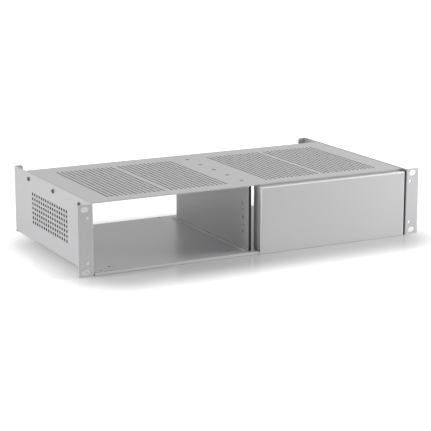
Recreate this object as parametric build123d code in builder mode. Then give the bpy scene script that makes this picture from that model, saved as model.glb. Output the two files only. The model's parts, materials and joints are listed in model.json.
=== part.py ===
from build123d import *
from math import cos, radians
import os

# Rack mount adapter of folded sheet metal, two rack units high, for two half-width units side by side.
# X runs along the width, Y from the front to the back and Z up, all in millimetres.
# The origin is the middle of the footprint, on the surface that the adapter stands on.

# Overall sizes
rack_width = 482.6
rack_height = 88.1
body_depth = 260.0
ear_reach = 17.8

# Sheets and bends
bracket_sheet = 2.0
cover_sheet = 1.5
floor_sheet = 2.0
divider_sheet = 1.5
panel_sheet = 1.5
bend_radius = 0.5
side_clearance = 0.15
hole_clearance = 0.15
thread_clearance = 0.05

# Ears with rack slots and handle holes, placed from the edges of the ears
slot_inset_x = 8.75
slot_inset_z = 5.95
slot_length = 10.3
slot_width = 6.8
handle_inset_x = 12.5
handle_spacing_z = 55.0
handle_hole = 4.3
ear_corner = 1.0

# Rear and bottom flanges of the side brackets
rear_flange = 10.0
rear_flange_corner = 3.0
bottom_flange = 23.5
flange_front = 4.0
flange_rear_margin = 5.0
relief_width = 1.5
relief_rise = 1.0

# Side grilles at half height, placed from the ear face
grille_columns = 16
grille_rows = 7
grille_pitch_y = 7.59
grille_pitch_z = 6.2
grille_hole = 3.9
grille_middle_y = 136.5

# Top plate with four vent fields, whose rows of fine holes are drawn as narrow slots
cover_front = 8.0
cover_depth = 214.0
cover_flange = 14.0
cover_flange_corner = 3.0
field_inner_x = 27.4
field_wall_gap = 30.0
field_strip = 8.0
field_middle_y = 110.0
vent_rows = 27
vent_pitch = 6.13
vent_slot = 2.0

# Bottom plate with the fixing holes of both units
floor_depth = 228.0
lip_ground_gap = 0.3
unit_spacing_x = 164.0
unit_spacing_y = 202.0
unit_hole = 4.2
unit_shift_x = 1.25
unit_middle_y = 121.0

# Divider between the bays
divider_left_x = -7.0
divider_front = 9.0
divider_rear = 215.0
divider_top_flange = 12.5
divider_foot_flange = 7.0
divider_hole = 3.6
divider_small_hole = 2.2
divider_hole_pitch = 18.0
divider_small_spacing = 20.0
divider_hole_setback = 16.0
notch_clearance = 1.5
strip_width = 2.8
strip_depth = 1.5

# Blank panel over the right bay
panel_left_x = 4.0
panel_side_gap = 2.5
panel_ground_gap = 0.3
panel_top_gap = 1.0
return_depth = 17.0
foot_length = 27.0
foot_front = 3.5
foot_rise = 1.0
panel_screw_inset = 22.5

# Screws and nuts, with this many sides for each small round shape
small_sides = 8
screw_size = 3.0
nut_width = 5.5
nut_height = 2.4
flat_head = 5.5
flat_head_rim = 0.1
pan_head = 5.6
pan_head_height = 1.8
top_screw_length = 6.0
side_screw_length = 7.0
top_screw_inset = 3.5
top_screw_front = 38.5
top_screw_pitch = 38.0
top_screw_count = 5
side_screw_front = 38.2
side_screw_pitch = 83.6
side_screw_drop = 7.7
side_screw_count = 3
floor_screw_inset = 13.5
floor_screw_front = 8.0
floor_screw_pitch = 107.0
floor_screw_count = 3
divider_screw_inset = 4.0
divider_screw_front = 25.0
divider_screw_pitch = 86.5
divider_screw_count = 3

# Places worked out from the sizes
ear_face_y = -(body_depth - panel_sheet) / 2
wall_outer_x = rack_width / 2 - ear_reach
wall_inner_x = wall_outer_x - bracket_sheet
middle_z = rack_height / 2
slot_x = rack_width / 2 - slot_inset_x
slot_spacing_z = rack_height - 2 * slot_inset_z
handle_x = rack_width / 2 - handle_inset_x
field_outer_x = wall_inner_x - field_wall_gap
unit_middle_x = wall_inner_x / 2 + unit_shift_x
cover_outer_x = wall_inner_x - side_clearance
cover_under_z = rack_height - cover_sheet
floor_outer_x = wall_inner_x - bend_radius - side_clearance
floor_top_z = bracket_sheet + floor_sheet
divider_right_x = divider_left_x + divider_sheet
divider_middle_x = divider_left_x + divider_sheet / 2
top_screw_x = divider_right_x + top_screw_inset
panel_right_x = wall_inner_x - panel_side_gap
panel_middle_x = (panel_left_x + panel_right_x) / 2
panel_width = panel_right_x - panel_left_x
panel_top_z = cover_under_z - panel_top_gap
panel_front_y = ear_face_y - panel_sheet
clear_hole = screw_size + 2 * hole_clearance
thread_hole = screw_size + 2 * thread_clearance


def outer_bend(sheet):
    return bend_radius + sheet


def from_face(distance):
    return ear_face_y + distance


def upright(distance):
    # vertical plane facing the front, at a distance behind the ear faces
    return Plane.XZ.offset(-from_face(distance))


def row_of(count, first, pitch):
    return [from_face(first + index * pitch) for index in range(count)]


# Places of the screws
top_screw_spots = [(top_screw_x, y) for y in row_of(top_screw_count, top_screw_front, top_screw_pitch)]
side_screw_rows = row_of(side_screw_count, side_screw_front, side_screw_pitch)
side_screw_z = rack_height - side_screw_drop
floor_screw_x = wall_outer_x - floor_screw_inset
floor_screw_rows = row_of(floor_screw_count, floor_screw_front, floor_screw_pitch)
divider_screw_x = divider_left_x - divider_screw_inset
divider_screw_rows = row_of(divider_screw_count, divider_screw_front, divider_screw_pitch)
divider_screw_spots = [(divider_screw_x, y) for y in divider_screw_rows]
foot_middle_y = (from_face(foot_front) + from_face(return_depth)) / 2
panel_screw_spots = [
    (panel_left_x + panel_screw_inset, foot_middle_y),
    (panel_right_x - panel_screw_inset, foot_middle_y),
]


# Shape of a flat head and its shank, or of the countersunk hole for them, below height zero
def flat_headed(head, shank, length):
    taper_depth = (head - shank) / 2 * cos(radians(180 / small_sides))
    with BuildPart() as shape:
        with BuildSketch():
            RegularPolygon(radius=head / 2, side_count=small_sides)
        extrude(amount=-(flat_head_rim + taper_depth))
        chamfer(shape.edges().group_by(Axis.Z)[0], length=taper_depth)
        with BuildSketch():
            RegularPolygon(radius=shank / 2, side_count=small_sides)
        extrude(amount=-length)
    return shape.part


# Countersink through a sheet, with a hair of clearance round a flat head
def countersink(sheet):
    return flat_headed(flat_head + 2 * thread_clearance, clear_hole, sheet)


# Countersunk screw with its head flush at height zero, pointing down
def flat_screw(length):
    return flat_headed(flat_head, screw_size, length)


# Pan head screw whose head sits on height zero, pointing down
def pan_screw(length):
    with BuildPart() as screw:
        with BuildSketch():
            RegularPolygon(radius=pan_head / 2, side_count=small_sides)
        extrude(amount=pan_head_height)
        chamfer(screw.edges().group_by(Axis.Z)[-1], length=pan_head_height / 3)
        with BuildSketch():
            RegularPolygon(radius=screw_size / 2, side_count=small_sides)
        extrude(amount=-length)
    return screw.part


# Hexagon nut that hangs below height zero
def hexagon_nut():
    with BuildPart() as nut:
        with BuildSketch():
            RegularPolygon(radius=nut_width / 2, side_count=6, major_radius=False, rotation=30)
            RegularPolygon(radius=thread_hole / 2, side_count=small_sides, mode=Mode.SUBTRACT)
        extrude(amount=-nut_height)
    return nut.part


# Side bracket: one sheet folded into ear, wall, rear flange and bottom flange
with BuildPart() as right_bracket:
    with BuildSketch():
        with BuildLine():
            FilletPolyline(
                (rack_width / 2, ear_face_y),
                (wall_inner_x, ear_face_y),
                (wall_inner_x, from_face(body_depth - bracket_sheet)),
                (wall_inner_x - rear_flange, from_face(body_depth - bracket_sheet)),
                radius=(outer_bend(bracket_sheet), bend_radius),
            )
            offset(amount=bracket_sheet, side=Side.RIGHT)
        make_face()
    extrude(amount=rack_height)
    short_edges = right_bracket.edges().filter_by(Axis.Y).group_by(Axis.X)
    fillet(short_edges[-1], radius=ear_corner)
    fillet(short_edges[0], radius=rear_flange_corner)

    # room for the bottom bend, with a relief at each end
    flange_rear = body_depth - bracket_sheet - flange_rear_margin
    flange_length = flange_rear - flange_front
    bend_top_z = outer_bend(bracket_sheet) + relief_rise
    with BuildSketch(Plane.YZ.offset(wall_inner_x)):
        with Locations((from_face(flange_front + flange_length / 2), bend_top_z / 2)):
            Rectangle(flange_length + 2 * relief_width, bend_top_z)
    extrude(amount=bracket_sheet, mode=Mode.SUBTRACT)
    with BuildSketch(upright(flange_front)):
        with BuildLine():
            FilletPolyline(
                (wall_inner_x, bend_top_z),
                (wall_inner_x, bracket_sheet),
                (wall_outer_x - bottom_flange, bracket_sheet),
                radius=bend_radius,
            )
            offset(amount=bracket_sheet, side=Side.LEFT)
        make_face()
    extrude(amount=-flange_length)

    # rack slots and handle holes in the ear
    with BuildSketch(upright(0)):
        with Locations((slot_x, middle_z)):
            with GridLocations(0, slot_spacing_z, 1, 2):
                SlotOverall(slot_length, slot_width)
        with Locations((handle_x, middle_z)):
            with GridLocations(0, handle_spacing_z, 1, 2):
                Circle(handle_hole / 2)
    extrude(amount=-bracket_sheet, mode=Mode.SUBTRACT)

    # countersunk holes in the bottom flange, entered from beneath
    with Locations([Location((floor_screw_x, y, 0), (180, 0, 0)) for y in floor_screw_rows]):
        add(countersink(bracket_sheet), mode=Mode.SUBTRACT)

    # grille and screw holes in the wall
    with BuildSketch(Plane.YZ.offset(wall_inner_x)):
        with Locations((from_face(grille_middle_y), middle_z)):
            with GridLocations(grille_pitch_y, grille_pitch_z, grille_columns, grille_rows):
                Rectangle(grille_hole, grille_hole)
        with Locations([(y, side_screw_z) for y in side_screw_rows]):
            RegularPolygon(radius=clear_hole / 2, side_count=small_sides)
    extrude(amount=bracket_sheet, mode=Mode.SUBTRACT)
right_bracket.part.label = "right_bracket"

with BuildPart() as left_bracket:
    mirror(right_bracket.part, about=Plane.YZ)
left_bracket.part.label = "left_bracket"


# Top plate: flat cover with a flange folded down inside each wall
with BuildPart() as top_plate:
    with BuildSketch(upright(cover_front)):
        with BuildLine():
            FilletPolyline(
                (-cover_outer_x, rack_height - cover_flange),
                (-cover_outer_x, rack_height),
                (cover_outer_x, rack_height),
                (cover_outer_x, rack_height - cover_flange),
                radius=outer_bend(cover_sheet),
            )
            offset(amount=cover_sheet, side=Side.RIGHT)
        make_face()
    extrude(amount=-cover_depth)
    fillet(top_plate.edges().filter_by(Axis.X).group_by(Axis.Z)[0], radius=cover_flange_corner)

    # countersunk holes over the divider and clearance holes in the side flanges
    with Locations([(x, y, rack_height) for x, y in top_screw_spots]):
        add(countersink(cover_sheet), mode=Mode.SUBTRACT)
    with BuildSketch(Plane.YZ):
        with Locations([(y, side_screw_z) for y in side_screw_rows]):
            RegularPolygon(radius=clear_hole / 2, side_count=small_sides)
    extrude(amount=cover_outer_x, both=True, mode=Mode.SUBTRACT)

    # four vent fields, two over each bay
    field_width = (field_outer_x - field_inner_x - field_strip) / 2
    field_x_places = [field_inner_x + field_width / 2, field_outer_x - field_width / 2]
    field_spots = [(side * x, from_face(field_middle_y)) for side in (-1, 1) for x in field_x_places]
    with BuildSketch(Plane.XY.offset(rack_height)):
        with Locations(field_spots):
            with GridLocations(0, vent_pitch, 1, vent_rows):
                Rectangle(field_width, vent_slot)
    extrude(amount=-cover_sheet, mode=Mode.SUBTRACT)
top_plate.part.label = "top_plate"


# Bottom plate: flat floor with a lip folded down at the front
with BuildPart() as bottom_plate:
    with BuildSketch(Plane.YZ):
        with BuildLine():
            FilletPolyline(
                (ear_face_y, lip_ground_gap),
                (ear_face_y, floor_top_z),
                (from_face(floor_depth), floor_top_z),
                radius=outer_bend(floor_sheet),
            )
            offset(amount=floor_sheet, side=Side.RIGHT)
        make_face()
    extrude(amount=floor_outer_x, both=True)

    # fixing holes of the two units and threaded holes at the side brackets
    with BuildSketch(Plane.XY.offset(floor_top_z)):
        with Locations([(side * unit_middle_x, from_face(unit_middle_y)) for side in (-1, 1)]):
            with GridLocations(unit_spacing_x, unit_spacing_y, 2, 2):
                Circle(unit_hole / 2)
        with Locations([(side * floor_screw_x, y) for side in (-1, 1) for y in floor_screw_rows]):
            RegularPolygon(radius=thread_hole / 2, side_count=small_sides)
    extrude(amount=-floor_sheet, mode=Mode.SUBTRACT)

    # countersunk holes under the divider and the panel feet, entered from beneath
    under_spots = divider_screw_spots + panel_screw_spots
    with Locations([Location((x, y, bracket_sheet), (180, 0, 0)) for x, y in under_spots]):
        add(countersink(floor_sheet), mode=Mode.SUBTRACT)
bottom_plate.part.label = "bottom_plate"


# Divider: sheet folded left onto the floor and right under the top plate
with BuildPart() as divider:
    with BuildSketch(upright(divider_front)):
        with BuildLine():
            FilletPolyline(
                (divider_left_x - divider_foot_flange, floor_top_z),
                (divider_right_x, floor_top_z),
                (divider_right_x, cover_under_z - divider_sheet),
                (divider_right_x + divider_top_flange, cover_under_z - divider_sheet),
                radius=(outer_bend(divider_sheet), bend_radius),
            )
            offset(amount=divider_sheet, side=Side.LEFT)
        make_face()
    extrude(amount=-(divider_rear - divider_front))

    # the top flange and its bend stop behind the return of the blank panel
    notch_bottom_z = cover_under_z - outer_bend(divider_sheet)
    notch_depth = return_depth + notch_clearance - divider_front
    with BuildSketch(upright(divider_front)):
        with Locations((divider_left_x, notch_bottom_z)):
            Rectangle(divider_sheet + divider_top_flange, cover_under_z - notch_bottom_z, align=Align.MIN)
    extrude(amount=-notch_depth, mode=Mode.SUBTRACT)

    # column of holes behind the front edge
    with BuildSketch(Plane.YZ.offset(divider_left_x)):
        with Locations((from_face(divider_front + divider_hole_setback), middle_z)):
            with GridLocations(0, divider_hole_pitch, 1, 3):
                RegularPolygon(radius=divider_hole / 2, side_count=small_sides)
            with GridLocations(0, divider_small_spacing, 1, 2):
                RegularPolygon(radius=divider_small_hole / 2, side_count=small_sides)
    extrude(amount=divider_sheet, mode=Mode.SUBTRACT)

    # screw holes in both flanges
    with BuildSketch(Plane.XY.offset(cover_under_z)):
        with Locations(top_screw_spots):
            RegularPolygon(radius=clear_hole / 2, side_count=small_sides)
    extrude(amount=-divider_sheet, mode=Mode.SUBTRACT)
    with BuildSketch(Plane.XY.offset(floor_top_z)):
        with Locations(divider_screw_spots):
            RegularPolygon(radius=thread_hole / 2, side_count=small_sides)
    extrude(amount=divider_sheet, mode=Mode.SUBTRACT)
divider.part.label = "divider"


# Dark rubber strip on the front edge of the divider
with BuildPart() as divider_edge_strip:
    with BuildSketch(Plane.XY.offset(floor_top_z)):
        with Locations((divider_middle_x, from_face(divider_front - strip_depth / 2))):
            Rectangle(strip_width, strip_depth)
    extrude(amount=cover_under_z - floor_top_z - side_clearance)
divider_edge_strip.part.label = "divider_edge_strip"


# Blank panel: tray with returns at the left, right and top, on two folded feet
with BuildPart() as blank_panel:
    with BuildSketch(Plane.XZ.offset(-panel_front_y)):
        with Locations((panel_middle_x, panel_ground_gap)):
            Rectangle(panel_width, panel_top_z - panel_ground_gap, align=(Align.CENTER, Align.MIN))
    extrude(amount=-(panel_sheet + return_depth))
    front_edges = blank_panel.faces().sort_by(Axis.Y)[0].edges()
    fillet(front_edges.sort_by(Axis.Z)[1:], radius=outer_bend(panel_sheet))
    open_faces = [blank_panel.faces().sort_by(Axis.Y)[-1], blank_panel.faces().sort_by(Axis.Z)[0]]
    offset(amount=-panel_sheet, openings=open_faces)

    # the returns end above the floor, with a relief over each foot
    foot_bend_z = floor_top_z + outer_bend(panel_sheet) + foot_rise
    with BuildSketch(Plane.XZ.offset(-ear_face_y)):
        with Locations((panel_middle_x, 0)):
            Rectangle(panel_width, foot_bend_z, align=(Align.CENTER, Align.MIN))
    extrude(amount=-return_depth, mode=Mode.SUBTRACT)
    with BuildSketch(upright(foot_front)):
        with BuildLine():
            FilletPolyline(
                (panel_left_x, foot_bend_z),
                (panel_left_x, floor_top_z),
                (panel_right_x, floor_top_z),
                (panel_right_x, foot_bend_z),
                radius=outer_bend(panel_sheet),
            )
            offset(amount=panel_sheet, side=Side.LEFT)
        make_face()
        with Locations((panel_middle_x, floor_top_z)):
            Rectangle(panel_width - 2 * foot_length, foot_bend_z, mode=Mode.SUBTRACT)
    extrude(amount=-(return_depth - foot_front))
    with BuildSketch(Plane.XY.offset(floor_top_z)):
        with Locations(panel_screw_spots):
            RegularPolygon(radius=thread_hole / 2, side_count=small_sides)
    extrude(amount=panel_sheet, mode=Mode.SUBTRACT)
blank_panel.part.label = "blank_panel"


# Countersunk screws from the top plate into the divider, with their nuts
with BuildPart() as top_screws:
    with Locations([(x, y, rack_height) for x, y in top_screw_spots]):
        add(flat_screw(top_screw_length))
top_screws.part.label = "top_screws"

with BuildPart() as top_nuts:
    with Locations([(x, y, cover_under_z - divider_sheet) for x, y in top_screw_spots]):
        add(hexagon_nut())
top_nuts.part.label = "top_nuts"


# Pan head screws from the right wall into the flange of the top plate, with their nuts
with BuildPart() as right_side_screws:
    with Locations([Location((wall_outer_x, y, side_screw_z), (0, 90, 0)) for y in side_screw_rows]):
        add(pan_screw(side_screw_length))
right_side_screws.part.label = "right_side_screws"

with BuildPart() as right_side_nuts:
    nut_face_x = cover_outer_x - cover_sheet
    with Locations([Location((nut_face_x, y, side_screw_z), (0, 90, 0)) for y in side_screw_rows]):
        add(hexagon_nut())
right_side_nuts.part.label = "right_side_nuts"

with BuildPart() as left_side_screws:
    mirror(right_side_screws.part, about=Plane.YZ)
left_side_screws.part.label = "left_side_screws"

with BuildPart() as left_side_nuts:
    mirror(right_side_nuts.part, about=Plane.YZ)
left_side_nuts.part.label = "left_side_nuts"


# Countersunk screws from beneath: brackets to floor, floor to divider and floor to panel feet
with BuildPart() as right_floor_screws:
    with Locations([Location((floor_screw_x, y, 0), (180, 0, 0)) for y in floor_screw_rows]):
        add(flat_screw(bracket_sheet + floor_sheet))
right_floor_screws.part.label = "right_floor_screws"

with BuildPart() as left_floor_screws:
    mirror(right_floor_screws.part, about=Plane.YZ)
left_floor_screws.part.label = "left_floor_screws"

with BuildPart() as divider_floor_screws:
    with Locations([Location((x, y, bracket_sheet), (180, 0, 0)) for x, y in divider_screw_spots]):
        add(flat_screw(floor_sheet + divider_sheet))
divider_floor_screws.part.label = "divider_floor_screws"

with BuildPart() as panel_screws:
    with Locations([Location((x, y, bracket_sheet), (180, 0, 0)) for x, y in panel_screw_spots]):
        add(flat_screw(floor_sheet + panel_sheet))
panel_screws.part.label = "panel_screws"


# One file for each piece
os.makedirs("parts", exist_ok=True)
export_step(left_bracket.part, "parts/left_bracket.step")
export_step(right_bracket.part, "parts/right_bracket.step")
export_step(top_plate.part, "parts/top_plate.step")
export_step(bottom_plate.part, "parts/bottom_plate.step")
export_step(divider.part, "parts/divider.step")
export_step(divider_edge_strip.part, "parts/divider_edge_strip.step")
export_step(blank_panel.part, "parts/blank_panel.step")
export_step(top_screws.part, "parts/top_screws.step")
export_step(top_nuts.part, "parts/top_nuts.step")
export_step(left_side_screws.part, "parts/left_side_screws.step")
export_step(right_side_screws.part, "parts/right_side_screws.step")
export_step(left_side_nuts.part, "parts/left_side_nuts.step")
export_step(right_side_nuts.part, "parts/right_side_nuts.step")
export_step(left_floor_screws.part, "parts/left_floor_screws.step")
export_step(right_floor_screws.part, "parts/right_floor_screws.step")
export_step(divider_floor_screws.part, "parts/divider_floor_screws.step")
export_step(panel_screws.part, "parts/panel_screws.step")
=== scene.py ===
import bpy
import bmesh
import json
from math import cos, pi, radians, sin
from mathutils import Matrix, Vector


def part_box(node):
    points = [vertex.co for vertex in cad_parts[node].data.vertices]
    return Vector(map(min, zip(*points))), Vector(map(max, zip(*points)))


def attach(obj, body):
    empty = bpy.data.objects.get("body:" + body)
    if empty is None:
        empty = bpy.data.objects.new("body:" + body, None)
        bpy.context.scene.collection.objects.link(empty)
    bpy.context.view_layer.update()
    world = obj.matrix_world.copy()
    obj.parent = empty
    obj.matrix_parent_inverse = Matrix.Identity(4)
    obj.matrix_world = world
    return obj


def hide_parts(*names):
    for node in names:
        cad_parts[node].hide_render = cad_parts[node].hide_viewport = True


# Looks of a folded sheet metal rack adapter: perforated top, side grilles, blank panel, divider and screws.
# Metres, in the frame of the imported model: X width, Y from front to back, Z up.

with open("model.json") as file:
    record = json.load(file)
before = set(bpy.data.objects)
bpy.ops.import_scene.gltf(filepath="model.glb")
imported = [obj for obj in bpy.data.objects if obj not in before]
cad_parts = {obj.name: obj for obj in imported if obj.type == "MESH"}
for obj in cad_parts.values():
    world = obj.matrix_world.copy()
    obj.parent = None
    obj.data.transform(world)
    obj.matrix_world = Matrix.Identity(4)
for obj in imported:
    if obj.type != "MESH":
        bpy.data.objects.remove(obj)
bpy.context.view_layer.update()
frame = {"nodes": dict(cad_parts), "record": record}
nodes = frame["nodes"]
scene = bpy.context.scene
mm = 0.001
leftward, rightward, upward, downward = (-1, 0, 0), (1, 0, 0), (0, 0, 1), (0, 0, -1)
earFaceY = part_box("left_bracket")[0].y  # front of the ears, which other places are measured from
print("frame loaded:", len(nodes), "nodes")


# Node building

class Wire:  # one output in a node tree, on which sums and products add Math nodes
    def __init__(self, tree, socket=None):
        self.tree = tree
        self.socket = socket

    def node(self, kind, settings={}, inputs={}, out=0):
        made = self.tree.nodes.new(kind)
        for name, value in settings.items():
            if name == "stops":
                self.setStops(made.color_ramp, value)
            else:
                setattr(made, name, value)
        for key, value in inputs.items():
            for each in value if isinstance(value, tuple) and isinstance(value[0], Wire) else (value,):
                if isinstance(each, Wire):
                    self.tree.links.new(each.socket, made.inputs[key])
                else:
                    made.inputs[key].default_value = each
        return Wire(self.tree, made.outputs[out])

    def setStops(self, ramp, stops):
        while len(ramp.elements) < len(stops):
            ramp.elements.new(0.5)
        for element, (place, grey) in zip(ramp.elements, stops):
            element.position = place
            element.color = (grey, grey, grey, 1)

    def maths(self, operation, first, second):
        return self.node("ShaderNodeMath", {"operation": operation}, {0: first, 1: second})

    def vectors(self, operation, second, out=0):
        return self.node("ShaderNodeVectorMath", {"operation": operation}, {0: self, 1: second}, out)

    def __add__(self, other):
        return self.maths("ADD", self, other)

    def __radd__(self, other):
        return self.maths("ADD", other, self)

    def __sub__(self, other):
        return self.maths("SUBTRACT", self, other)

    def __rsub__(self, other):
        return self.maths("SUBTRACT", other, self)

    def __mul__(self, other):
        return self.maths("MULTIPLY", self, other)

    def __rmul__(self, other):
        return self.maths("MULTIPLY", other, self)

    def feed(self, shader, name):
        self.tree.links.new(self.socket, shader.inputs[name])


def newMaterial(name, fixed):
    made = bpy.data.materials.new(name)
    made.use_nodes = True
    shader = made.node_tree.nodes["Principled BSDF"]
    for socketName, value in fixed.items():
        shader.inputs[socketName].default_value = value
    start = Wire(made.node_tree)
    place = start.node("ShaderNodeTexCoord", out="Object")
    return made, shader, place


def noise(place, scale, detail=2.0, roughness=0.5, stretch=None):
    if stretch:
        place = place.node("ShaderNodeMapping", {}, {"Vector": place, "Scale": stretch})
    return place.node("ShaderNodeTexNoise", {}, {
        "Vector": place, "Scale": scale, "Detail": detail, "Roughness": roughness})


def ramp(value, stops):
    return value.node("ShaderNodeValToRGB", {"stops": stops}, {"Fac": value})


def blendColours(factor, first, second):  # a Mix node's colours are its sockets 6 and 7, its result is 2
    return factor.node("ShaderNodeMix", {"data_type": "RGBA"}, {
        0: factor, 6: (*first, 1), 7: (*second, 1)}, out=2)


def bump(height, strength, distance):
    return height.node("ShaderNodeBump", {}, {"Height": height, "Strength": strength, "Distance": distance})


# Finishes

sheetPaint = {              # scales here are waves per metre, and heights metres
    "pale": (0.63, 0.63, 0.64),
    "deep": (0.585, 0.585, 0.595),
    "metallic": 0.4,        # aluminium flakes in the paint
    "roughness": 0.26,
    "cloudScale": 7.0,      # slow change of tone over a whole sheet
    "cloudShare": 0.7,
    "cloudRoughness": 0.06,
    "peelScale": 650.0,     # orange peel of the baked paint
    "peelRoughness": 0.05,
    "peelShare": 0.8,
    "grainScale": 2600.0,   # fine grit in the paint
    "rubAndHighlightScale": 60.0,       # faint rubs along the depth, a little smoother
    "rubStretch": (1.0, 0.15, 1.0),
    "rubStops": [(0.45, 0.0), (0.80, 1.0)],
    "rubAndHighlightRoughness": 0.02,
    "bumpStrength": 0.35,
    "bumpHeight": 0.00004,
}

screwSteel = {
    "pale": (0.25, 0.25, 0.255),
    "deep": (0.15, 0.15, 0.155),
    "roughness": 0.34,
    "turningScale": 1800.0,
    "turningRoughness": 0.12,
    "stainScale": 260.0,
    "stainRoughness": 0.08,
    "bumpStrength": 0.25,
    "bumpHeight": 0.00002,
}

holeShadeLook = {               # painted shade: dark, dull paint on the walls inside the holes, for the shade that falls there
    "pale": (0.20, 0.20, 0.205),
    "deep": (0.12, 0.12, 0.125),
    "shine": 0.3,
    "roughness": 0.60,
    "grainScale": 3000.0,
    "grainRoughness": 0.15,
    "bumpStrength": 0.3,
    "bumpHeight": 0.00003,
}

edgeHighlightLook = {             # painted highlight: pale paint on cut edges and bends, for the bright lines that light makes along them
    "pale": (0.95, 0.95, 0.95),
    "deep": (0.80, 0.80, 0.80),
    "shine": 0.6,
    "roughness": 0.35,
    "rubAndHighlightScale": 180.0,
    "mottleDetail": 0.6,
    "rubAndHighlightRoughness": 0.1,
    "bumpStrength": 0.2,
    "bumpHeight": 0.00002,
}

edgeRubber = {
    "pale": (0.030, 0.030, 0.031),
    "deep": (0.016, 0.016, 0.017),
    "roughness": 0.62,
    "grainScale": 2200.0,
    "dustScale": 120.0,
    "dustShare": 0.6,
    "dustRoughness": 0.15,
    "bumpStrength": 0.4,
    "bumpHeight": 0.00003,
}


def makeSheetPaint():
    look = sheetPaint
    made, shader, place = newMaterial("satinSheetPaint", {"Metallic": look["metallic"]})
    cloud = noise(place, look["cloudScale"], 3.0)
    grain = noise(place, look["grainScale"], 2.0)
    peel = noise(place, look["peelScale"], 2.0, 0.45)
    rubs = ramp(noise(place, look["rubAndHighlightScale"], 3.0, 0.5, look["rubStretch"]), look["rubStops"])
    tone = cloud * look["cloudShare"] + grain * (1 - look["cloudShare"])
    blendColours(tone, look["deep"], look["pale"]).feed(shader, "Base Color")
    roughness = look["roughness"] + cloud * look["cloudRoughness"] + peel * look["peelRoughness"]
    (roughness - rubs * look["rubAndHighlightRoughness"]).feed(shader, "Roughness")
    height = peel * look["peelShare"] + grain * (1 - look["peelShare"])
    bump(height, look["bumpStrength"], look["bumpHeight"]).feed(shader, "Normal")
    return made


def makeScrewSteel():
    look = screwSteel
    made, shader, place = newMaterial("screwSteel", {"Metallic": 1.0})
    turning = noise(place, look["turningScale"], 2.0)
    stain = noise(place, look["stainScale"], 3.0)
    blendColours(stain, look["deep"], look["pale"]).feed(shader, "Base Color")
    roughness = look["roughness"] + turning * look["turningRoughness"] + stain * look["stainRoughness"]
    roughness.feed(shader, "Roughness")
    bump(turning, look["bumpStrength"], look["bumpHeight"]).feed(shader, "Normal")
    return made


def makeEdgeRubber():
    look = edgeRubber
    made, shader, place = newMaterial("edgeRubber", {"Metallic": 0.0})
    grain = noise(place, look["grainScale"], 3.0)
    dust = noise(place, look["dustScale"], 3.0)
    tone = dust * look["dustShare"] + grain * (1 - look["dustShare"])
    blendColours(tone, look["deep"], look["pale"]).feed(shader, "Base Color")
    (look["roughness"] + dust * look["dustRoughness"]).feed(shader, "Roughness")
    bump(grain, look["bumpStrength"], look["bumpHeight"]).feed(shader, "Normal")
    return made


# painted shade: the hole walls' dark colour stands for the shade inside the holes
def makeHoleShade():
    look = holeShadeLook
    made, shader, place = newMaterial("holeShade", {"Metallic": 0.0, "Specular IOR Level": look["shine"]})
    grain = noise(place, look["grainScale"], 3.0)
    blendColours(grain, look["deep"], look["pale"]).feed(shader, "Base Color")
    (look["roughness"] + grain * look["grainRoughness"]).feed(shader, "Roughness")
    bump(grain, look["bumpStrength"], look["bumpHeight"]).feed(shader, "Normal")
    return made


# painted highlight: the edges' pale colour, mottled by noise
def makeEdgeHighlight():
    look = edgeHighlightLook
    made, shader, place = newMaterial("edgeHighlight", {"Metallic": 0.0, "Specular IOR Level": look["shine"]})
    highlightMottle = noise(place, look["rubAndHighlightScale"], 3.0, look["mottleDetail"])
    blendColours(highlightMottle, look["deep"], look["pale"]).feed(shader, "Base Color")
    (look["roughness"] + highlightMottle * look["rubAndHighlightRoughness"]).feed(shader, "Roughness")
    bump(highlightMottle, look["bumpStrength"], look["bumpHeight"]).feed(shader, "Normal")
    return made


paint = makeSheetPaint()
holeShade = makeHoleShade()
edgeHighlight = makeEdgeHighlight()
steel = makeScrewSteel()
rubber = makeEdgeRubber()
finishOf = {"painted_sheet": paint, "fastener_steel": steel, "edge_rubber": rubber}
for row in frame["record"]["subparts"]:
    nodes[row["node"]].data.materials.clear()
    nodes[row["node"]].data.materials.append(finishOf[row["material_slot"]])
print("finishes made")


# Mesh helpers

def newObject(name, mesh):
    made = bpy.data.objects.new(name, mesh)
    scene.collection.objects.link(made)
    return made


def meshFrom(shape, name):  # turns a bmesh into a mesh and frees it
    mesh = bpy.data.meshes.new(name)
    shape.to_mesh(mesh)
    shape.free()
    return mesh


def plainMesh(thing):  # the object's mesh with its modifiers done
    bpy.context.view_layer.update()
    return bpy.data.meshes.new_from_object(thing.evaluated_get(bpy.context.evaluated_depsgraph_get()))


def settle(thing):  # makes the object's modifiers part of its mesh
    made = plainMesh(thing)
    thing.modifiers.clear()
    thing.data = made


merging = {
    "distance": 0.002,      # loose corners of a node that are one, in mm
    "flatness": 0.5,        # degrees up to which neighbouring triangles are one flat face
}


def copyOfNode(name):  # the node's loose triangles, merged into closed solids
    shape = bmesh.new()
    shape.from_mesh(nodes[name].data)
    bmesh.ops.remove_doubles(shape, verts=shape.verts, dist=merging["distance"] * mm)
    bmesh.ops.dissolve_limit(shape, angle_limit=radians(merging["flatness"]),
                             verts=shape.verts, edges=shape.edges)
    return newObject(name + "Shape", meshFrom(shape, name + "Shape"))


def addBlock(shape, low, high):
    size = [b - a for a, b in zip(low, high)]
    middle = [(a + b) / 2 for a, b in zip(low, high)]
    bmesh.ops.create_cube(shape, size=1.0, matrix=Matrix.Translation(middle) @ Matrix.Diagonal((*size, 1)))


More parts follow.
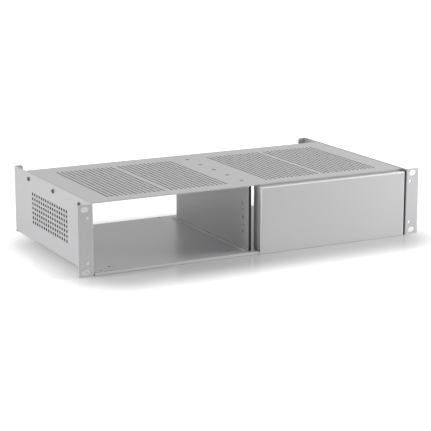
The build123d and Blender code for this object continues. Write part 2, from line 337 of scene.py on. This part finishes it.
def addTurned(shape, start, along, outline, sides=32):  # solid turned about a line, from distances and radii
    outward = along.orthogonal().normalized()
    turns = [Matrix.Rotation(2 * pi * k / sides, 3, along) for k in range(sides)]
    rings = []
    for distance, radius in outline:
        middle = start + along * distance
        rings.append([shape.verts.new(middle + turn @ outward * radius) for turn in turns])
    for one, two in zip(rings, rings[1:]):
        for k in range(sides):
            shape.faces.new((one[k], one[(k + 1) % sides], two[(k + 1) % sides], two[k]))
    shape.faces.new(reversed(rings[0]))
    shape.faces.new(rings[-1])


def addCone(shape, spot, along, sink, bore):  # cutter for a countersunk hole that starts above its surface
    lift = 0.3 * mm
    addTurned(shape, spot, along, [(-lift, sink), (0, sink), (sink - bore, bore), (2 * sink, bore)])


def cut(whole, cutterShape):  # takes the cutter's blocks and rods out of an object
    bmesh.ops.recalc_face_normals(cutterShape, faces=cutterShape.faces)
    cutter = newObject("cutter", meshFrom(cutterShape, "cutter"))
    difference = whole.modifiers.new("cut", "BOOLEAN")
    difference.operation = "DIFFERENCE"
    difference.solver = "EXACT"
    difference.object = cutter
    settle(whole)
    bpy.data.objects.remove(cutter)


sheetAngle, screwAngle = 30, 40     # degrees up to which neighbouring faces are shaded as one
edgewise = 0.3                      # most that a hole wall's normal has of the sheet's own direction
inShadedHole, onPaintedHighlight = 1, 2               # material slots of the painted shade on hole walls and of the painted highlight on edges and bends


# Joins the things into one piece that stands for the node; edgeKind tells the material slot of each face
def finishPiece(name, things, node, slotName, angle=sheetAngle, edgeKind=None):
    shape = bmesh.new()
    for thing in things:
        shape.from_mesh(thing.data)
        bpy.data.objects.remove(thing)
    mesh = meshFrom(shape, name)
    mesh.materials.clear()
    # slot 1 is the painted shade of hole walls, slot 2 the painted highlight of edges and bends
    for finish in (finishOf[slotName], holeShade, edgeHighlight)[:3 if edgeKind else 1]:
        mesh.materials.append(finish)
    for polygon in mesh.polygons:
        polygon.use_smooth = True
        polygon.material_index = edgeKind(polygon.center, polygon.normal) if edgeKind else 0
    mesh.set_sharp_from_angle(angle=radians(angle))
    piece = newObject(name, mesh)
    level = piece.modifiers.new("level", "WEIGHTED_NORMAL")  # keeps flat sheet flat beside its bends
    level.keep_sharp = True
    level.weight = 100
    settle(piece)
    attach(piece, "root")
    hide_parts(node)
    return piece


screwRows = {                   # node: kind of head, where the head points, count, piece
    "top_screws": ("sunkTop", upward, 5, "topScrewRow"),
    "left_side_screws": ("pan", leftward, 3, "leftPanScrews"),
    "right_side_screws": ("pan", rightward, 3, "rightPanScrews"),
    "left_floor_screws": ("sunk", downward, 3, "leftFloorScrewRow"),
    "right_floor_screws": ("sunk", downward, 3, "rightFloorScrewRow"),
    "divider_floor_screws": ("sunk", downward, 3, "dividerScrewRow"),
    "panel_screws": ("sunk", downward, 2, "panelScrewPair"),
}


def screwSpots(node):  # tops of the heads of one node's row of screws, from its box
    low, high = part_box(node)
    headward, count = Vector(screwRows[node][1]), screwRows[node][2]
    size = high - low
    half = min(size[axis] for axis in range(3) if not headward[axis]) / 2
    run = max((axis for axis in range(3) if not headward[axis]), key=lambda axis: size[axis])
    spots = []
    for index in range(count):
        spot = (low + high) / 2 + headward * abs(size.dot(headward)) / 2
        spot[run] = low[run] + half + (size[run] - 2 * half) * index / (count - 1)
        spots.append(spot)
    return spots


# Perforated sheet: round holes on a square grid in a rectangle of sheet

def makeTree(name, sockets):
    tree = bpy.data.node_groups.new(name, "GeometryNodeTree")
    for socketName, kind in sockets:
        tree.interface.new_socket(name=socketName, in_out="INPUT", socket_type=kind)
    tree.interface.new_socket(name="Result", in_out="OUTPUT", socket_type="NodeSocketGeometry")
    given = tree.nodes.new("NodeGroupInput")
    return tree, {socketName: Wire(tree, given.outputs[socketName]) for socketName, kind in sockets}


def endTree(tree, geometry, finish):  # real geometry with its finish, because instances don't reach a mesh
    real = geometry.node("GeometryNodeRealizeInstances", {}, {"Geometry": geometry})
    done = geometry.node("GeometryNodeSetMaterial", {}, {"Geometry": real, "Material": finish})
    done.feed(tree.nodes.new("NodeGroupOutput"), "Result")
    return tree


def runTree(tree, name, values, mesh=None):  # the tree's result as a plain mesh on a new object
    thing = newObject(name, mesh or bpy.data.meshes.new(name))
    modifier = thing.modifiers.new("tree", "NODES")
    modifier.node_group = tree
    for item in tree.interface.items_tree:
        if item.in_out == "INPUT" and item.name in values:
            modifier[item.identifier] = values[item.name]
    settle(thing)
    return thing


def perforatedSheetTree():
    tree, given = makeTree("perforatedSheet", [
        ("Columns", "NodeSocketInt"), ("Rows", "NodeSocketInt"),
        ("Pitch X", "NodeSocketFloat"), ("Pitch Y", "NodeSocketFloat"),
        ("Hole", "NodeSocketFloat"), ("Hole Sides", "NodeSocketInt"),
        ("Width", "NodeSocketFloat"), ("Depth", "NodeSocketFloat"), ("Thickness", "NodeSocketFloat"),
        ("Middle", "NodeSocketVector"), ("Turn", "NodeSocketVector"), ("Finish", "NodeSocketMaterial")])
    start = Wire(tree)
    spots = start.node("GeometryNodeMeshGrid", {}, {
        "Size X": (given["Columns"] - 1) * given["Pitch X"], "Size Y": (given["Rows"] - 1) * given["Pitch Y"],
        "Vertices X": given["Columns"], "Vertices Y": given["Rows"]})
    ring = start.node("GeometryNodeCurvePrimitiveCircle", {"mode": "RADIUS"}, {
        "Resolution": given["Hole Sides"], "Radius": given["Hole"] * 0.5})
    rings = start.node("GeometryNodeInstanceOnPoints", {}, {"Points": spots, "Instance": ring})
    rings = start.node("GeometryNodeRealizeInstances", {}, {"Geometry": rings})
    border = start.node("GeometryNodeCurvePrimitiveQuadrilateral", {"mode": "RECTANGLE"}, {
        "Width": given["Width"], "Height": given["Depth"]})
    outlines = start.node("GeometryNodeJoinGeometry", {}, {"Geometry": (rings, border)})
    face = start.node("GeometryNodeFillCurve", {}, {"Curve": outlines})
    up = start.node("ShaderNodeCombineXYZ", {}, {"Z": given["Thickness"]})
    raised = start.node("GeometryNodeExtrudeMesh", {"mode": "FACES"}, {
        "Mesh": face, "Offset": up, "Individual": False})
    under = start.node("GeometryNodeFlipFaces", {}, {"Mesh": face})
    closed = start.node("GeometryNodeJoinGeometry", {}, {"Geometry": (raised, under)})
    closed = start.node("GeometryNodeMergeByDistance", {}, {"Geometry": closed, "Distance": 0.001 * mm})
    turned = start.node("GeometryNodeTransform", {}, {
        "Geometry": closed, "Translation": given["Middle"], "Rotation": given["Turn"]})
    return endTree(tree, turned, given["Finish"])


perforatedSheet = perforatedSheetTree()


# Top plate

topVents = {
    "middleXs": (66.425, 152.475),  # the two fields over each bay, in mm
    "middleY": 110.0,               # behind the ear faces
    "columns": 13,
    "rows": 27,
    "pitchX": 6.28,
    "pitchY": 6.13,
    "hole": 3.9,
    "holeSides": 12,
    "width": 82.0,                  # window that holds one field
    "depth": 166.0,
    "thickness": 1.5,
    "screwSink": 2.8,               # radius of a countersunk hole at the surface, and below
    "screwBore": 1.65,
    "edgeReach": 200.0,             # holes lie this near to the middle, unlike the plate's own sides
    "edgeDepth": 1.4,               # and this near to the top
}


def makeTopPlate():
    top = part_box("top_plate")[1].z
    plate = copyOfNode("top_plate")
    windows = bmesh.new()
    fields = []
    for side in (-1, 1):
        for distance in topVents["middleXs"]:
            x, y = side * distance * mm, earFaceY + topVents["middleY"] * mm
            half = Vector((topVents["width"] / 2 * mm, topVents["depth"] / 2 * mm, 0))
            middle = Vector((x, y, top - topVents["thickness"] * mm))
            lift = Vector((0, 0, 1 * mm))
            addBlock(windows, middle - half - lift, middle + half + 3 * lift)
            fields.append(runTree(perforatedSheet, "topField", {
                "Columns": topVents["columns"], "Rows": topVents["rows"],
                "Pitch X": topVents["pitchX"] * mm, "Pitch Y": topVents["pitchY"] * mm,
                "Hole": topVents["hole"] * mm, "Hole Sides": topVents["holeSides"],
                "Width": topVents["width"] * mm, "Depth": topVents["depth"] * mm,
                "Thickness": topVents["thickness"] * mm, "Middle": middle, "Finish": paint}))
    for spot in screwSpots("top_screws"):
        addCone(windows, spot, Vector(downward), topVents["screwSink"] * mm, topVents["screwBore"] * mm)
    cut(plate, windows)

    # hole walls inside the vent fields get the painted shade
    def edgeKind(middle, normal):
        near = abs(middle.x) < topVents["edgeReach"] * mm and middle.z > top - topVents["edgeDepth"] * mm
        return inShadedHole if near and abs(normal.z) < edgewise else 0

    return finishPiece("perforatedTopPlate", [plate] + fields, "top_plate", "painted_sheet",
                       edgeKind=edgeKind)


topPlate = makeTopPlate()
print("top plate made:", len(topPlate.data.polygons), "faces")


# Divider: the same sheet with its small holes made round

dividerHoles = {
    "middleY": 25.0,        # behind the ear faces, in mm
    "large": (1.8, (-18.0, 0.0, 18.0)),     # radius, and heights from the middle
    "small": (1.1, (-10.0, 10.0)),
    "cutReach": 2.0,        # of the cutting rods to each side of the sheet's middle
    "sides": 28,
    "endMargin": 10.0,      # the holes lie at least this far from the sheet's ends
    "flangeHeight": 2.0,    # the foot flange's cut edge, which gets the painted highlight, lies below this, and faces left by more than the next
    "flangeFacing": 0.9,
}


def makeDivider():
    low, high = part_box("divider")
    strip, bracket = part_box("divider_edge_strip"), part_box("left_bracket")
    x, y = (strip[0].x + strip[1].x) / 2, earFaceY + dividerHoles["middleY"] * mm
    z = (bracket[0].z + bracket[1].z) / 2
    reach = dividerHoles["cutReach"] * mm
    sheet = copyOfNode("divider")
    rods = bmesh.new()
    for radius, heights in (dividerHoles["large"], dividerHoles["small"]):
        for height in heights:
            start = Vector((x - reach, y, z + height * mm))
            outline = [(0, radius * mm), (2 * reach, radius * mm)]
            addTurned(rods, start, Vector(rightward), outline, dividerHoles["sides"])
    cut(sheet, rods)

    def edgeKind(middle, normal):  # painted highlight on the cut edge of the foot flange
        if normal.x < -dividerHoles["flangeFacing"] and middle.z < low.z + dividerHoles["flangeHeight"] * mm:
            return onPaintedHighlight
        # hole walls in the column of holes get the painted shade
        lowest, highest = low.z + dividerHoles["endMargin"] * mm, high.z - dividerHoles["endMargin"] * mm
        inColumn = abs(middle.y - y) < dividerHoles["large"][0] * mm and lowest < middle.z < highest
        return inShadedHole if inColumn and abs(normal.x) < edgewise else 0

    return finishPiece("roundHoledDivider", [sheet], "divider", "painted_sheet", edgeKind=edgeKind)


divider = makeDivider()
print("divider made:", len(divider.data.polygons), "faces")


# Blank panel: the same tray with its bends smoothed, and a painted highlight along the front bends

panelBends = {
    "turned": 0.3,          # least part of a bend's normal that points forward, and up or sideways
}


def makeBlankPanel():
    def edgeKind(middle, normal):
        turned = panelBends["turned"]
        # front bends get the painted highlight
        return onPaintedHighlight if normal.y < -turned and (normal.z > turned or abs(normal.x) > turned) else 0

    return finishPiece("foldedBlankPanel", [copyOfNode("blank_panel")], "blank_panel", "painted_sheet",
                       edgeKind=edgeKind)


blankPanel = makeBlankPanel()
print("blank panel made:", len(blankPanel.data.polygons), "faces")


def trimPiece(name, shape, finish):  # piece of trim that no node stands for
    mesh = meshFrom(shape, name)
    mesh.materials.append(finish)
    trim = newObject(name, mesh)
    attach(trim, "root")
    return trim


# Painted shade: a dark strip between the panel's right edge and the bracket, standing for the deep shade in
# that gap

gapShadeStrip = {
    "clearance": 0.1,       # to each side, in mm
    "wallGap": 0.15,        # between the top plate and the wall
    "headGap": 1.6,         # under the top of the plate
    "setBack": 0.6,         # behind the front of the panel
    "depth": 3.0,
    "footDepth": 0.8,       # in front of the lip of the bottom plate
    "round": 0.4,
    "roundSteps": 3,
}


def makeGapShadeStrip():
    panel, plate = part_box("blank_panel"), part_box("top_plate")
    clear, front = gapShadeStrip["clearance"] * mm, panel[0].y + gapShadeStrip["setBack"] * mm
    left, right = panel[1].x + clear, plate[1].x + gapShadeStrip["wallGap"] * mm - clear
    foot, joint = panel[0].z + clear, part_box("bottom_plate")[1].z + clear
    head = plate[1].z - gapShadeStrip["headGap"] * mm
    shape = bmesh.new()
    addBlock(shape, (left, front, joint), (right, front + gapShadeStrip["depth"] * mm, head))
    addBlock(shape, (left, front, foot), (right, front + gapShadeStrip["footDepth"] * mm, joint))
    frontEdges = [edge for edge in shape.edges if abs(edge.verts[0].co.z - edge.verts[1].co.z) > mm
                  and all(vert.co.y < front + clear for vert in edge.verts)]
    bmesh.ops.bevel(shape, geom=frontEdges, offset=gapShadeStrip["round"] * mm, segments=gapShadeStrip["roundSteps"],
                    profile=0.5, affect="EDGES")
    # the strip's dark rubber finish is painted shade
    return trimPiece("gapShadeStrip", shape, rubber)


makeGapShadeStrip()
print("panel seal made")


# Pale spacer that closes the gap between the panel's top return and the top plate

panelSpacer = {
    "setBack": 0.3,         # behind the front of the top plate, in mm
    "depth": 3.0,
    "clearance": 0.03,      # over the return and under the top plate
    "sideInset": 3.0,
    "round": 0.15,
    "roundSteps": 2,
}


def makePanelSpacer():
    panel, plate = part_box("blank_panel"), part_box("top_plate")
    clear, inset = panelSpacer["clearance"] * mm, panelSpacer["sideInset"] * mm
    front, under = plate[0].y + panelSpacer["setBack"] * mm, plate[1].z - topVents["thickness"] * mm
    shape = bmesh.new()
    addBlock(shape, (panel[0].x + inset, front, panel[1].z + clear),
             (panel[1].x - inset, front + panelSpacer["depth"] * mm, under - clear))
    bmesh.ops.bevel(shape, geom=shape.edges[:], offset=panelSpacer["round"] * mm,
                    segments=panelSpacer["roundSteps"], profile=0.5, affect="EDGES")
    return trimPiece("panelSpacer", shape, paint)


makePanelSpacer()
print("panel spacer made")


# Side brackets

sideGrille = {
    "middleY": 136.5,   # behind the ear faces, in mm
    "columns": 16,
    "rows": 7,
    "pitchY": 7.59,
    "pitchZ": 6.2,
    "hole": 4.4,
    "holeSides": 20,
    "length": 122.0,    # window that holds the grille
    "height": 45.0,
    "thickness": 2.0,
    "plateGap": 0.15,   # between the top plate and the wall
}


def makeBracket(side, node, name):
    low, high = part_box(node)
    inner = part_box("top_plate")[1].x + sideGrille["plateGap"] * mm
    outer = inner + sideGrille["thickness"] * mm
    wall = copyOfNode(node)
    y, z = earFaceY + sideGrille["middleY"] * mm, (low.z + high.z) / 2
    halfY, halfZ = sideGrille["length"] / 2 * mm, sideGrille["height"] / 2 * mm
    window = bmesh.new()
    ends = sorted((side * (inner - mm), side * (outer + mm)))
    addBlock(window, (ends[0], y - halfY, z - halfZ), (ends[1], y + halfY, z + halfZ))
    grille = runTree(perforatedSheet, "sideField", {
        "Columns": sideGrille["columns"], "Rows": sideGrille["rows"],
        "Pitch X": sideGrille["pitchY"] * mm, "Pitch Y": sideGrille["pitchZ"] * mm,
        "Hole": sideGrille["hole"] * mm, "Hole Sides": sideGrille["holeSides"],
        "Width": sideGrille["length"] * mm, "Depth": sideGrille["height"] * mm,
        "Thickness": sideGrille["thickness"] * mm,
        "Middle": Vector((side * inner, y, z)), "Turn": Vector((pi / 2, 0, side * pi / 2)), "Finish": paint})
    cut(wall, window)

    # hole walls inside the grille get the painted shade
    def edgeKind(middle, normal):
        inside = abs(middle.y - y) < halfY - mm and abs(middle.z - z) < halfZ - mm and abs(middle.x) > inner
        return inShadedHole if inside and abs(normal.x) < edgewise else 0

    return finishPiece(name, [wall, grille], node, "painted_sheet", edgeKind=edgeKind)


leftBracket = makeBracket(-1, "left_bracket", "leftGrilleBracket")
rightBracket = makeBracket(1, "right_bracket", "rightGrilleBracket")
print("side brackets made:", len(leftBracket.data.polygons), "faces each")


# Screws with round heads and cross recesses

screws = {
    "shank": 1.5,               # radii and heights in mm
    "flatHead": 2.55,
    "topHeadExtra": 0.2,        # the heads in the top plate fill their holes
    "flatRim": 0.1,
    "panHead": 2.8,
    "panHeight": 1.8,
    "panDome": 0.75,            # height of the dome, as a part of the whole
    "panFlat": 0.62,            # radius of the flat on top of the dome, as a part of the whole
    "recessLength": 3.0,
    "recessWidth": 0.62,
    "recessDepth": 0.9,
    "sides": 32,
}


def screwOutline(kind, length):  # distance below the head's top and radius, down to the shank's end
    shank = screws["shank"]
    if kind == "pan":
        head, height, flat = screws["panHead"], screws["panHeight"], screws["panFlat"]
        dome = [(height * screws["panDome"] * (1 - sin(angle)), head * (flat + (1 - flat) * cos(angle)))
                for angle in (pi / 2, pi / 3, pi / 6, 0)]
        return dome + [(height, head), (height, shank), (length, shank)]
    head = screws["flatHead"] + (screws["topHeadExtra"] if kind == "sunkTop" else 0)
    rim = screws["flatRim"]
    return [(0, head), (rim, head), (rim + head - shank, shank), (length, shank)]


def screwTemplate(kind, length):  # one screw with its head's top at the origin, pointing up
    shape = bmesh.new()
    outline = [(distance * mm, radius * mm) for distance, radius in screwOutline(kind, length)]
    addTurned(shape, Vector((0, 0, 0)), Vector(downward), outline, screws["sides"])
    bmesh.ops.recalc_face_normals(shape, faces=shape.faces)
    screw = newObject("screw", meshFrom(shape, "screw"))
    long, wide = screws["recessLength"] / 2 * mm, screws["recessWidth"] / 2 * mm
    for x, y in ((long, wide), (wide, long)):
        recess = bmesh.new()
        addBlock(recess, (-x, -y, -screws["recessDepth"] * mm), (x, y, mm))
        cut(screw, recess)
    mesh = screw.data
    bpy.data.objects.remove(screw)
    return mesh


def screwRowTree():
    tree, given = makeTree("screwRow", [
        ("Screw", "NodeSocketGeometry"), ("Count", "NodeSocketInt"), ("First", "NodeSocketVector"),
        ("Step", "NodeSocketVector"), ("Turn", "NodeSocketVector"), ("Finish", "NodeSocketMaterial")])
    start = Wire(tree)
    turned = start.node("GeometryNodeTransform", {}, {"Geometry": given["Screw"], "Rotation": given["Turn"]})
    line = start.node("GeometryNodeMeshLine", {"mode": "OFFSET"}, {
        "Count": given["Count"], "Start Location": given["First"], "Offset": given["Step"]})
    row = start.node("GeometryNodeInstanceOnPoints", {}, {"Points": line, "Instance": turned})
    return endTree(tree, row, given["Finish"])


def makeScrewRows():
    tree = screwRowTree()
    made = []
    for node, (kind, pointing, count, name) in screwRows.items():
        low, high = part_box(node)
        headward = Vector(pointing)
        length = abs((high - low).dot(headward)) / mm
        spots = screwSpots(node)
        turn = Vector(upward).rotation_difference(headward).to_euler()
        row = runTree(tree, name, {
            "Count": count, "First": spots[0], "Step": spots[1] - spots[0], "Turn": Vector(turn),
            "Finish": steel}, screwTemplate(kind, length))
        made.append(finishPiece(name, [row], node, "fastener_steel", screwAngle))
    return made


screwPieces = makeScrewRows()
print("screws made:", sum(len(piece.data.polygons) for piece in screwPieces), "faces")


# Camera

viewFromLeft = {
    "place": (-0.9271, -1.78955, 0.4961),
    "turn": (76.8, 0.0, -27.6),     # degrees
    "lens": 130.85,
    "sensor": 36,
    "nearest": 0.05,
    "farthest": 60,
}


def makeCamera():
    data = bpy.data.cameras.new("camera")
    data.lens = viewFromLeft["lens"]
    data.sensor_width = viewFromLeft["sensor"]
    data.clip_start, data.clip_end = viewFromLeft["nearest"], viewFromLeft["farthest"]
    camera = newObject("camera", data)
    camera.location = viewFromLeft["place"]
    camera.rotation_euler = [radians(angle) for angle in viewFromLeft["turn"]]
    scene.camera = camera


# Floor, lamps and surroundings

studio = {
    "floorReach": 8.0,
    "floorGrey": 0.80,
    "paintedShadowGrey": 0.62,       # painted shadow: the floor's colour for the camera close beside the adapter, fading to the floor grey further off
    "glow": 0.72,           # what the camera sees on top of the lit floor further off, so that it reads white
    "fade": (0.022, 0.125), # metres from the adapter, from no glow to all of it; the missing glow close by paints the adapter's shadow
    "footprintMiddle": (0.0, -0.05, 0.0),   # block that those distances are measured from
    "footprintHalf": (0.185, 0.08, 1.0),
    "glowInMetal": 0.10,    # what the sheet metal mirrors on top of the lit floor
    "polish": 0.16,         # share of the floor that mirrors, and how softly
    "polishRoughness": 0.12,
    "evenLight": 0.25,      # surroundings as a lamp, and as the metal mirrors them
    "mirroredLight": 0.72,
    "lamps": [              # name, place, aim, size, power
        ("rightFront", (1.15, -0.5, 0.45), (0.16, -0.1, 0.05), 0.5, 15.5),
        ("leftSide", (-1.5, 0.0, 0.45), (-0.25, 0.0, 0.04), 0.7, 15.0),
        ("above", (0.0, 0.0, 1.7), (0.0, 0.0, 0.05), 1.0, 3.5),
    ],
}


def makeFloorMaterial():
    material = bpy.data.materials.new("paleFloor")
    material.use_nodes = True
    material.node_tree.nodes.clear()
    start = Wire(material.node_tree)
    away = start.node("ShaderNodeTexCoord", out="Object").vectors("SUBTRACT", studio["footprintMiddle"])
    away = away.vectors("ABSOLUTE", (0, 0, 0)).vectors("SUBTRACT", studio["footprintHalf"])
    away = away.vectors("MAXIMUM", (0, 0, 0)).vectors("LENGTH", (0, 0, 0), out="Value")
    # clear runs from 0 beside the adapter to 1 further off; below 1 the camera sees painted shadow on the
    # floor
    clear = away.node("ShaderNodeMapRange", {"interpolation_type": "SMOOTHSTEP"}, {
        "Value": away, "From Min": studio["fade"][0], "From Max": studio["fade"][1]})
    camera = start.node("ShaderNodeLightPath", out="Is Camera Ray")
    metal = start.node("ShaderNodeLightPath", out="Is Glossy Ray")
    strength = camera * clear * studio["glow"] + metal * studio["glowInMetal"]
    greys = ((studio["paintedShadowGrey"],) * 3, (studio["floorGrey"],) * 3)
    # painted shadow: for the camera, the floor's colour darkens close beside the adapter
    matt = start.node("ShaderNodeBsdfDiffuse", {}, {"Color": blendColours(1 - camera * (1 - clear), *greys)})
    polish = start.node("ShaderNodeBsdfAnisotropic", {}, {
        "Color": (1, 1, 1, 1), "Roughness": studio["polishRoughness"]})
    surface = start.node("ShaderNodeMixShader", {}, {0: camera * studio["polish"], 1: matt, 2: polish})
    glow = start.node("ShaderNodeEmission", {}, {"Color": (1, 1, 1, 1), "Strength": strength})
    both = start.node("ShaderNodeAddShader", {}, {0: surface, 1: glow})
    both.feed(material.node_tree.nodes.new("ShaderNodeOutputMaterial"), "Surface")
    return material


def makeStudio():
    shape = bmesh.new()
    bmesh.ops.create_grid(shape, x_segments=1, y_segments=1, size=studio["floorReach"])
    floor = newObject("floor", meshFrom(shape, "floor"))
    floor.data.materials.append(makeFloorMaterial())

    world = bpy.data.worlds.new("surroundings")
    scene.world = world
    world.use_nodes = True
    world.node_tree.nodes.clear()
    start = Wire(world.node_tree)
    camera = start.node("ShaderNodeLightPath", out="Is Camera Ray")
    glass = start.node("ShaderNodeLightPath", out="Is Transmission Ray")
    metal = start.node("ShaderNodeLightPath", out="Is Glossy Ray")
    even, mirrored = studio["evenLight"], studio["mirroredLight"]
    level = (camera + glass) * (1 - even) + metal * (mirrored - even) + even
    sky = start.node("ShaderNodeBackground", {}, {"Color": (1, 1, 1, 1), "Strength": level})
    sky.feed(world.node_tree.nodes.new("ShaderNodeOutputWorld"), "Surface")

    for name, place, aim, size, power in studio["lamps"]:
        data = bpy.data.lights.new(name, "AREA")
        data.shape = "SQUARE"
        data.size = size
        data.energy = power
        lamp = newObject(name, data)
        lamp.visible_glossy = False  # sheet metal mirrors the surroundings, not the lamp's own square
        lamp.location = place
        lamp.rotation_euler = (Vector(aim) - Vector(place)).to_track_quat("-Z", "Y").to_euler()


makeCamera()
makeStudio()
scene.view_settings.view_transform = "Standard"
print("camera, floor and lamps made")
